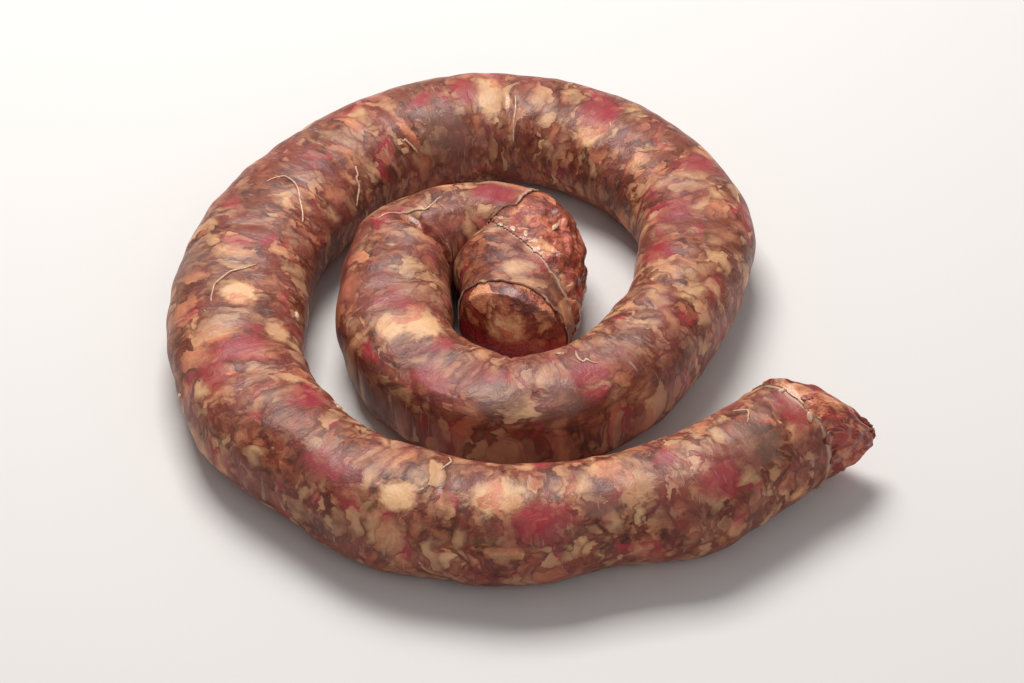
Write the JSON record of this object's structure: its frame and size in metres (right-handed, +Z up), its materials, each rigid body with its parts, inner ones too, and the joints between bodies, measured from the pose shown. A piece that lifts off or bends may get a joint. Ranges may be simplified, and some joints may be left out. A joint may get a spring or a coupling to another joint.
{
  "type": "coiled fresh sausage",
  "caption": "Raw coarse sausage in natural casing, laid in a loose coil, with a torn outer end and an inner end folded into a hook and cut.",
  "frame": {"origin": "under the middle of the bounding box, on the surface the sausage lies on", "axes": "+Z up, +X towards the side of the torn tail, +Y towards the back of the coil"},
  "size_m": [0.2128, 0.2266, 0.0326],
  "materials": {
    "casing": "moist natural casing, thin and greyish, over brown-red lean meat with cream fat pieces",
    "filling": "wet coarse minced meat, brown-red to dark red, with cream and pink fat"
  },
  "bodies": {
    "root": {"casing": "casing", "filling": "filling"}
  },
  "joints": []
}
